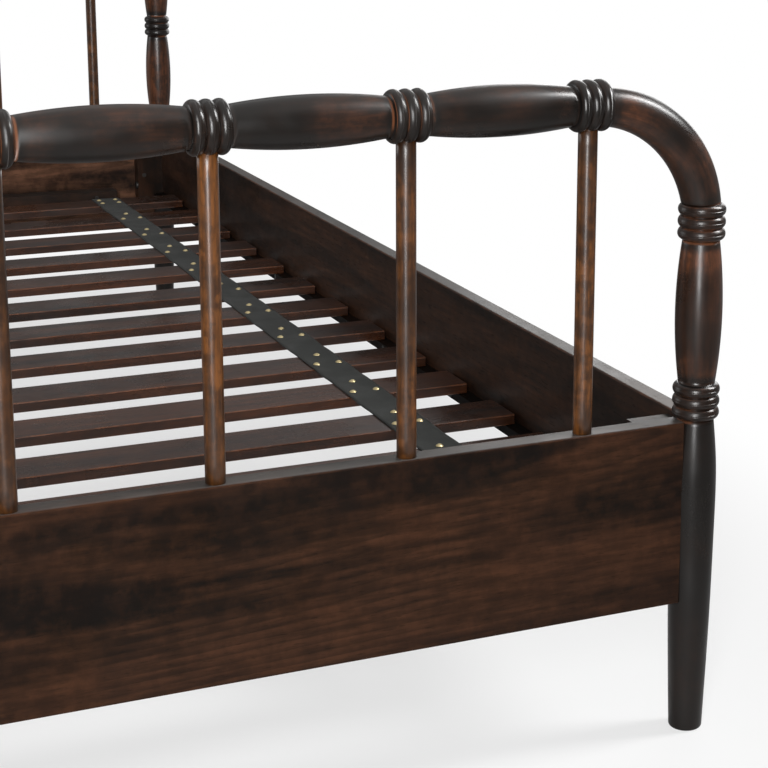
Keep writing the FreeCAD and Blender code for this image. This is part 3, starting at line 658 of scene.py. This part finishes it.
# --- operators ---
class BED_OT_posts(bpy.types.Operator):
    """Turn the four corner posts"""
    bl_idname = "bed.posts"
    bl_label = "Corner Posts"

    def execute(self, context):
        turning, material = context.scene.bed_turning, turned_stain()
        for end in ENDS:
            profile = post_profile(turning, RINGS[end])
            over_panel, barrel = profile[:, 0] > PANEL_TOP, np.abs(profile[:, 2]) < 0.05
            tone = np.where(over_panel & barrel, BARREL_TONE, np.where(over_panel, 0.0, LEG_TONE))
            for i, side in enumerate(SIDES):
                turned(f"turned_{end}_post_{side}", profile, ((-POST_X, POST_X)[i], END_Y[end], 0), (0, 0, 1),
                       (1, 0, 0), tone, 11 + RINGS[end] * 2 + i, "stained_wood", f"{end}_post_{side}", material,
                       turning.around)
        return {"FINISHED"}


class BED_OT_top_rails(bpy.types.Operator):
    """Turn the two top rails"""
    bl_idname = "bed.top_rails"
    bl_label = "Top Rails"

    def execute(self, context):
        turning, material = context.scene.bed_turning, turned_stain()
        profile = rail_profile(turning)
        for seed, end in enumerate(ENDS, 31):
            turned(f"turned_{end}_rail", profile, (0, END_Y[end], RAIL_Z[end]), (1, 0, 0), (0, 1, 0), RAIL_TONE,
                   seed, "stained_wood", f"{end}_top_rail", material, turning.around)
        return {"FINISHED"}


class BED_OT_bends(bpy.types.Operator):
    """Make the four bent corners"""
    bl_idname = "bed.bends"
    bl_label = "Bent Corners"

    def execute(self, context):
        turning, material, seed = context.scene.bed_turning, turned_stain(), 41
        for end in ENDS:
            for side, hand in zip(SIDES, (-1, 1)):
                self.bend(turning, material, end, side, hand, seed)
                seed += 1
        return {"FINISHED"}

    def bend(self, turning, material, end, side, hand, seed):
        """Sections square to a quarter circle; those past the square ends are pressed flat onto them."""
        ring_length = turning.beads * turning.bead_pitch
        rail_end = SPINDLE_XS[-1] + ring_length / 2
        post_end = RING_BASE + turning.ring_step * (RINGS[end] - 1) + ring_length
        height = RAIL_Z[end] - turning.bend_drop - turning.bend
        share = np.linspace(0.0, 1.0, 73)
        turn = math.pi / 2 * (1 - share)
        reach = POST_X - turning.bend + turning.bend * np.cos(turn)
        centres = np.stack([hand * reach, np.full_like(share, END_Y[end]), height + turning.bend * np.sin(turn)], -1)
        outward = np.stack([hand * np.cos(turn), 0 * turn, np.sin(turn)], -1)
        back = np.tile([0.0, -float(hand), 0.0], (len(share), 1))
        radii = (turning.bend_rail_end + (turning.bend_post_end - turning.bend_rail_end) * share
                 + turning.bend_swell * np.sin(math.pi * share))

        def clip(skin):
            skin[..., 0] = hand * np.maximum(hand * skin[..., 0], rail_end)
            skin[..., 2] = np.maximum(skin[..., 2], post_end)
            return skin
        # Rise falls below 0 towards both ends, where the material paints shade at the joints.
        near_end = np.minimum(reach - rail_end, centres[:, 2] - post_end)
        rise = -0.5 * np.exp(-np.clip(near_end, 0, 1) / 0.006)
        swept(f"bent_{end}_corner_{side}", centres, outward, back, radii, rise, BEND_TONE, seed, "stained_wood",
              f"{end}_elbow_{side}", material, turning.around, clip)


class BED_OT_spindles(bpy.types.Operator):
    """Make the sixteen plain spindles"""
    bl_idname = "bed.spindles"
    bl_label = "Spindles"

    def execute(self, context):
        turning, rows = context.scene.bed_turning, 15
        material = finished("amber_dowel", lambda: turned_material(
            "amber_dowel", *stains("amber_dark", "amber_warm", "rubbed"), fineness=330.0, gloss=0.38, depth=0.00003,
            thin=0.35, coat=SPINDLE_VARNISH))
        chance = np.random.default_rng(7)
        for end in ENDS:
            along = np.linspace(PANEL_TOP - IN_PANEL, RAIL_Z[end] - turning.rail_bead + IN_RING, rows)
            profile = np.stack([along, np.full(rows, turning.spindle), np.zeros(rows)], -1)
            for i, x in enumerate(SPINDLE_XS):
                turned(f"{end}_dowel_{i + 1}", profile, (x, END_Y[end], 0), (0, 0, 1), (1, 0, 0),
                       chance.uniform(*SPINDLE_TONES), 100 + i, "amber_wood", f"{end}_spindle_{i + 1}", material, 40)
        return {"FINISHED"}


class BED_OT_boards(bpy.types.Operator):
    """Stain the end panels, side rails and corner blocks"""
    bl_idname = "bed.boards"
    bl_label = "Panels and Rails"

    def execute(self, context):
        dark, warm, rubbed = stains("board_dark", "board_warm", "rubbed")
        # Painted light: the head panel's warm figure is 2.6 to 3.5 times as bright as the foot panel's, and greyer,
        # standing for light on it.
        greyer_painted_light = [x * y for x, y in zip(warm, (2.6, 3.0, 3.5))]
        panels = [board_material(f"espresso_{end}_panel", "X", dark, figure, rubbed, wear=0.1, fineness=120.0,
                                 cloud=6.0, heart=(-1.166, 0.41, 0.0), lean=0.085, ring=0.0075, curl=0.08,
                                 shine=1.18, dust=0.35) for end, figure in zip(ENDS, (warm, greyer_painted_light))]
        rail = board_material("espresso_side_rail", "Y", shade(dark, 0.7), shade(warm, 0.9), rubbed, wear=0.3,
                              gloss=0.42, cloud=9.0, shine=1.30, dust=0.5)
        block = board_material("espresso_block", "Z", dark, shade(warm, 0.7), rubbed, wear=0.2)
        for end, panel in zip(ENDS, panels):
            dress(f"{end}_panel", panel)
        for side in SIDES:
            dress(f"side_rail_{side}", rail)
        dress("corner_blocks", block)
        return {"FINISHED"}


class BED_OT_slats(bpy.types.Operator):
    """Stain the thirteen slats"""
    bl_idname = "bed.slats"
    bl_label = "Slats"

    def execute(self, context):
        material = board_material("walnut_slat", "X", *stains("slat_dark", "slat_warm", "rubbed"), wear=0.45,
                                  gloss=0.27, fineness=120.0, cloud=6.0, grain_length=16.0, heart=(-3.0, 0.30, 0.0),
                                  rings=0.45, shine=1.50, dust=0.0, relief=0.04, per_piece=True)
        for slat in SLATS:
            dress(slat, material)
        return {"FINISHED"}


class BED_OT_supports(bpy.types.Operator):
    """Finish the ledgers, cleats, centre beam, its legs and their levelling feet"""
    bl_idname = "bed.supports"
    bl_label = "Slat Supports"

    def execute(self, context):
        dark, warm, rubbed = stains("board_dark", "board_warm", "rubbed")
        lengthwise, crosswise, upright = [
            board_material(f"plain_stain_{way}", axis, dark, warm, rubbed, wear=0.3, gloss=0.42)
            for way, axis in (("lengthwise", "Y"), ("crosswise", "X"), ("upright", "Z"))]
        # The ledgers' near-black stain, darker than the boards', is partly painted shade: it stands for the shade
        # among the slat ends resting on them.
        ledger = board_material("dark_ledger", "Y", shade(dark, 0.5), shade(warm, 0.15), dark, wear=0.1, gloss=0.5,
                                shine=1.12, dust=0.0)
        dress("centre_beam", lengthwise)
        for side in SIDES:
            dress(f"ledger_{side}", ledger)
        for end in ENDS:
            dress(f"{end}_cleat", crosswise)
        pad = plastic_material(*stains("plastic"))
        for i in (1, 2):
            dress(f"centre_leg_{i}", upright)
            dress(f"levelling_foot_{i}", pad)
        return {"FINISHED"}


class BED_OT_straps(bpy.types.Operator):
    """Lay the two webbing straps over the slats"""
    bl_idname = "bed.straps"
    bl_label = "Webbing Straps"

    def execute(self, context):
        material = webbing_material(*stains("webbing"))
        for side in SIDES:
            self.strap(side, material)
        return {"FINISHED"}

    def strap(self, side, material):
        """A flat band: height = the slats' tops less a slight dip between two slats, which is the dip's depth times
        the square of the sine from slat edge to slat edge."""
        low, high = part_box(f"strap_{side}")
        width, run, thick = high.x - low.x, high.y - low.y, high.z - low.z
        edges = np.array(sorted([end.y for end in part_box(slat)] for slat in SLATS))
        stops = edges.ravel()
        y = np.unique(np.concatenate([np.linspace(a, b, 9) for a, b in zip(stops[:-1], stops[1:])]))
        x = np.linspace(low.x, high.x, 13)
        gap = np.clip(np.searchsorted(edges[:, 0], y, side="right") - 1, 0, len(SLATS) - 2)
        share = np.clip((y - edges[gap, 1]) / (edges[gap + 1, 0] - edges[gap, 1]), 0, 1)
        dip = STRAP_DIP * np.sin(math.pi * share) ** 2
        across, along = np.meshgrid(x, y, indexing="ij")
        height = np.broadcast_to(high.z - STRAP_INSET - dip[None, :], across.shape)
        points = np.stack([across, along, height], -1).reshape(-1, 3)
        row, step = np.meshgrid(np.arange(len(x) - 1), np.arange(len(y) - 1), indexing="ij")
        corner = row * len(y) + step
        quads = np.stack([corner, corner + len(y), corner + len(y) + 1, corner + 1], -1).reshape(-1, 4)
        piece = new_piece(f"webbing_{side}", points, (quads,), "slat_roll", f"strap_{side}", material)
        uv = piece.data.uv_layers.new(name="cloth")
        corners = np.zeros(len(piece.data.loops), np.int32)
        piece.data.loops.foreach_get("vertex_index", corners)
        flat = (points[corners][:, :2] - [low.x, low.y]).astype(np.float32)
        uv.data.foreach_set("uv", flat.ravel())
        solid = piece.modifiers.new("Thickness", "SOLIDIFY")
        solid.thickness, solid.offset = thick - 2 * STRAP_INSET, -1.0


class BED_OT_tacks(bpy.types.Operator):
    """Polish the brass tacks"""
    bl_idname = "bed.tacks"
    bl_label = "Tacks"

    def execute(self, context):
        dress("tacks", metal_material("tack_brass", *stains("brass"), 0.33, 0.1, 0.8))
        return {"FINISHED"}


class BED_OT_hardware(bpy.types.Operator):
    """Finish the screws, bolts, inserts and beam angles"""
    bl_idname = "bed.hardware"
    bl_label = "Screws, Bolts and Angles"

    def execute(self, context):
        black = metal_material("blackened_steel", *stains("steel"), 0.38, 0.25, 0.7)
        for node in ("wood_screws", "bed_bolts", "beam_brackets"):
            dress(node, black)
        dress("rail_inserts", metal_material("insert_brass", *stains("brass"), 0.3, 0.2, 0.5))
        return {"FINISHED"}


class BED_OT_stage(bpy.types.Operator):
    """Set up the floor, the lights, the pale room and the camera"""
    bl_idname = "bed.stage"
    bl_label = "Studio"

    def execute(self, context):
        studio = context.scene.bed_studio
        self.floor(studio)
        self.room(studio)
        self.light("key_light", (-0.6, -3.12, 0.98), (0.35, -1.0, 0.5), 0.55, 1.75, studio.key)
        self.light("top_light", (2.2, -1.25, 1.95), (0.7, -1.0, 0.6), 0.50, 1.10, studio.top, 50)
        self.light("well_light", (-0.5, -1.5, 1.35), (0.4, 1.05, 0.26), 1.0, 0.4, studio.well, 60)
        self.light("fill_light", (-1.6, -6.0, 2.4), (0.0, 0.0, 0.3), 2.0, 2.0, studio.fill)
        self.light("right_side_light", (3.6, 2.8, 1.6), (0.8, 0.2, 0.4), 2.6, 2.2, studio.side)
        self.light("left_side_light", (-3.6, 2.8, 1.6), (-0.8, 0.2, 0.4), 2.6, 2.2, studio.side * 0.7)
        self.camera()
        context.scene.view_settings.view_transform = "Standard"
        return {"FINISHED"}

    def floor(self, studio):
        """A pale floor that rises into a backdrop far behind: flat, then a quarter circle, then upright.

        It shows white to the camera and a little darker near the bed: the glow is lower there, a painted pool of
        shade, so that the bed's own shadow is seen there too."""
        reach, bend, height, half_width = 9.0, 3.0, 9.0, 16.0
        turn = np.linspace(0, math.pi / 2, 25)
        y = np.concatenate([[-reach], reach + bend * np.sin(turn), [reach + bend]])
        z = np.concatenate([[0.0], bend * (1 - np.cos(turn)), [height]])
        x = np.array([-half_width, half_width])
        points = np.stack([np.tile(x, len(y)), np.repeat(y, 2), np.repeat(z, 2)], -1)
        i = np.arange(len(y) - 1) * 2
        quads = np.stack([i, i + 1, i + 3, i + 2], -1)
        mesh = bpy.data.meshes.new("studio_floor")
        mesh.from_pydata(points, [], quads.tolist())
        mesh.polygons.foreach_set("use_smooth", np.ones(len(quads), bool))
        floor = bpy.data.objects.new("studio_floor", mesh)
        bpy.context.scene.collection.objects.link(floor)
        material, n, shader = new_material("studio_floor", {"Roughness": 0.9, "Base Color": list(studio.floor),
                                                            "Specular IOR Level": 0.1})
        path = n.add("ShaderNodeLightPath").outputs
        seen = n.largest(path["Is Camera Ray"], path["Is Transmission Ray"], path["Is Glossy Ray"])
        glow = n.add("ShaderNodeEmission", {"Color": (1.0, 1.0, 1.0), "Strength": n.math(
            "SUBTRACT", 1.0, n.times(path["Is Glossy Ray"], 0.75))})
        x, y, _ = n.split(n.add("ShaderNodeTexCoord").outputs["Object"])
        # Painted shade: the glow is lower within reach of the bed, so the floor there is a little darker all round.
        past = [n.largest(n.math("SUBTRACT", n.math("ABSOLUTE", part), half), 0.0)
                for part, half in ((x, 0.80), (n.plus(y, 0.25), 1.30))]
        bright = n.between(n.size(*past), 0.05, 0.62, 0.64, 1.0)
        mixed = n.add("ShaderNodeMixShader", {0: n.times(seen, bright), 1: shader.outputs[0], 2: glow.outputs[0]})
        out = next(x for x in material.node_tree.nodes if x.type == "OUTPUT_MATERIAL")
        n.put(out.inputs["Surface"], mixed.outputs[0])
        mesh.materials.append(material)

    def room(self, studio):
        """A pale room. What the gloss mirrors of it is darker in front than behind and overhead."""
        world = bpy.data.worlds.new("studio_room")
        bpy.context.scene.world = world
        world.use_nodes = True
        n = Nodes(world.node_tree)
        background = next(x for x in world.node_tree.nodes if x.type == "BACKGROUND")
        path = n.add("ShaderNodeLightPath").outputs
        seen = n.largest(path["Is Camera Ray"], path["Is Transmission Ray"], path["Is Glossy Ray"])
        _, back, overhead = n.split(n.add("ShaderNodeTexCoord").outputs["Generated"])
        shine = n.largest(n.between(back, 0.45, 0.90, 0.15, 1.0), n.between(overhead, 0.50, 0.95, 0.15, 0.72))
        pale = n.largest(shine, path["Is Camera Ray"], path["Is Transmission Ray"])
        strength = n.add("ShaderNodeMix", {0: seen, 2: studio.room, 3: pale}, data_type="FLOAT")
        n.put(background.inputs["Color"], (1.0, 1.0, 1.0))
        n.put(background.inputs["Strength"], strength.outputs[0])

    def light(self, name, place, aim, width, height, power, spread=180):
        """A flat lamp turned towards its aim, with its spread in degrees, which the camera doesn't see."""
        data = bpy.data.lights.new(name, "AREA")
        data.shape, data.size, data.size_y, data.energy = "RECTANGLE", width, height, power
        data.spread = math.radians(spread)
        lamp = bpy.data.objects.new(name, data)
        lamp.location, lamp.visible_camera = place, False
        lamp.rotation_euler = (Vector(aim) - Vector(place)).to_track_quat("-Z", "Y").to_euler()
        bpy.context.scene.collection.objects.link(lamp)

    def camera(self):
        """The photograph's view: yaw from +Y towards +X, pitch down, a little roll, and a shifted long lens."""
        place = (-0.1756, -2.6205, 0.9124)
        yaw, pitch, roll = (math.radians(x) for x in (24.570, 12.901, 0.4726))
        ahead = Vector((math.sin(yaw) * math.cos(pitch), math.cos(yaw) * math.cos(pitch), -math.sin(pitch)))
        level = Vector((math.cos(yaw), -math.sin(yaw), 0.0))
        upright = level.cross(ahead)
        right = level * math.cos(roll) + upright * math.sin(roll)
        up = upright * math.cos(roll) - level * math.sin(roll)
        data = bpy.data.cameras.new("photo_camera")
        data.sensor_width, data.lens, data.shift_x, data.shift_y = 36.0, 88.733, -0.1332, -0.1512
        camera = bpy.data.objects.new("photo_camera", data)
        camera.matrix_world = Matrix([*zip(right, up, -ahead, place), (0.0, 0.0, 0.0, 1.0)])
        bpy.context.scene.collection.objects.link(camera)
        bpy.context.scene.camera = camera


PIECES = (BED_OT_posts, BED_OT_top_rails, BED_OT_bends, BED_OT_spindles, BED_OT_boards, BED_OT_slats,
          BED_OT_supports, BED_OT_straps, BED_OT_tacks, BED_OT_hardware, BED_OT_stage)


class BED_PT_pieces(bpy.types.Panel):
    """Lists the bed's pieces and settings"""
    bl_idname = "BED_PT_pieces"
    bl_label = "Spindle Bed"
    bl_space_type = "VIEW_3D"
    bl_region_type = "UI"
    bl_category = "Bed"

    def draw(self, context):
        for operator in PIECES:
            self.layout.operator(operator.bl_idname)
        for group in (context.scene.bed_turning, context.scene.bed_finish, context.scene.bed_studio):
            box = self.layout.box()
            for name in group.bl_rna.properties.keys():
                if name not in ("rna_type", "name"):
                    box.prop(group, name)


CLASSES = (BedTurning, BedFinish, BedStudio, *PIECES, BED_PT_pieces)


def register():
    for item in CLASSES:
        bpy.utils.register_class(item)
    bpy.types.Scene.bed_turning = PointerProperty(type=BedTurning)
    bpy.types.Scene.bed_finish = PointerProperty(type=BedFinish)
    bpy.types.Scene.bed_studio = PointerProperty(type=BedStudio)


def unregister():
    for name in ("bed_studio", "bed_finish", "bed_turning"):
        delattr(bpy.types.Scene, name)
    for item in reversed(CLASSES):
        bpy.utils.unregister_class(item)


def main():
    register()
    for operator in PIECES:
        group, name = operator.bl_idname.split(".")
        getattr(getattr(bpy.ops, group), name)()


if __name__ == "__main__":
    main()
